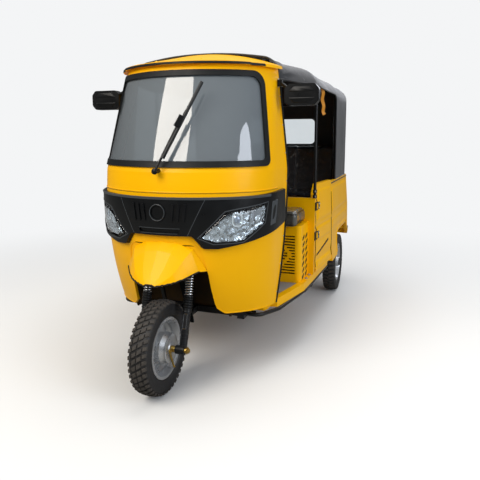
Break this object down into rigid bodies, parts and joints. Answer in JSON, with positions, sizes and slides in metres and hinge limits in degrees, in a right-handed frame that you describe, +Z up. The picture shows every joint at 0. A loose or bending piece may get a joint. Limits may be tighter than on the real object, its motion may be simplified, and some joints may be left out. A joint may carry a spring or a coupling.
{
  "type": "auto rickshaw",
  "caption": "Three-wheeled auto rickshaw with a yellow steel cowl, hinged half doors, bench seat, fork-steered front wheel and black canvas canopy.",
  "frame": {"origin": "on the ground under the middle of the vehicle", "axes": "+Z up, the vehicle faces -Y, +X is its left side"},
  "size_m": [1.38, 2.8179, 1.769],
  "materials": {
    "yellow_paint": "gloss",
    "black_frame_paint": "satin",
    "tyre": "matt",
    "silver_rim": "satin",
    "black_plastic": "textured",
    "black_rubber": "matt",
    "lamp": "gloss",
    "tail_lamp": "gloss",
    "glass": "clear",
    "clear_sheet": "clear",
    "seat_vinyl": "satin",
    "canvas": "matt",
    "floor_mat": "ribbed",
    "cast_grey": "cast",
    "chrome": "polished",
    "zinc": "yellow zinc",
    "steel_pipe": "satin"
  },
  "bodies": {
    "root": {"chassis_frame": "black_frame_paint", "floor_pan": "yellow_paint", "floor_mat": "floor_mat", "front_cowl": "yellow_paint", "wheel_well": "yellow_paint", "windshield_gasket": "black_rubber", "windshield": "glass", "roof_visor": "yellow_paint", "fascia": "black_plastic", "headlamps": "lamp", "beak": "yellow_paint", "dashboard": "black_plastic", "wiper": "black_frame_paint", "mirrors": "black_plastic", "seat_base": "yellow_paint", "driver_cushion": "seat_vinyl", "engine_block": "cast_grey", "bulkhead": "yellow_paint", "passenger_seat_base": "yellow_paint", "passenger_cushion": "seat_vinyl", "passenger_backrest": "seat_vinyl", "rear_body": "yellow_paint", "door_hinges": "black_frame_paint", "canopy_frame": "black_frame_paint", "canopy": "canvas", "rear_window": "clear_sheet", "tail_lamps": "tail_lamp", "rear_bumper": "black_frame_paint", "rear_axle": "black_frame_paint", "rear_suspension": "black_frame_paint", "exhaust": "steel_pipe"},
    "steering": {"steering_stem": "black_frame_paint", "fork_legs": "black_frame_paint", "fork_springs": "chrome", "handlebar": "black_rubber", "front_axle": "zinc", "mud_flap": "black_plastic"},
    "front_wheel": {"front_tyre": "tyre", "front_rim": "silver_rim"},
    "rear_wheel_left": {"rear_tyre_left": "tyre", "rear_rim_left": "silver_rim"},
    "rear_wheel_right": {"rear_tyre_right": "tyre", "rear_rim_right": "silver_rim"},
    "door_left": {"door_left": "yellow_paint"},
    "door_right": {"door_right": "yellow_paint"}
  },
  "joints": [
    {"name": "steering_turn", "type": "hinge", "parent": "root", "child": "steering", "pos_m": [0, -0.9818, 0.72234], "axis": [0, 0.2924, 0.9563], "range_deg": [-35, 35]},
    {"name": "front_wheel_spin", "type": "hinge", "parent": "steering", "child": "front_wheel", "pos_m": [0, -1.169, 0.24], "axis": [1, 0, 0], "continuous": true},
    {"name": "rear_wheel_left_spin", "type": "hinge", "parent": "root", "child": "rear_wheel_left", "pos_m": [0.54, 0.914, 0.24], "axis": [1, 0, 0], "continuous": true},
    {"name": "rear_wheel_right_spin", "type": "hinge", "parent": "root", "child": "rear_wheel_right", "pos_m": [-0.54, 0.914, 0.24], "axis": [1, 0, 0], "continuous": true},
    {"name": "door_left_swing", "type": "hinge", "parent": "root", "child": "door_left", "pos_m": [0.576, -0.05, 0.69], "axis": [0, 0, -1], "range_deg": [0, 75]},
    {"name": "door_right_swing", "type": "hinge", "parent": "root", "child": "door_right", "pos_m": [-0.576, -0.05, 0.69], "axis": [0, 0, 1], "range_deg": [0, 75]}
  ]
}
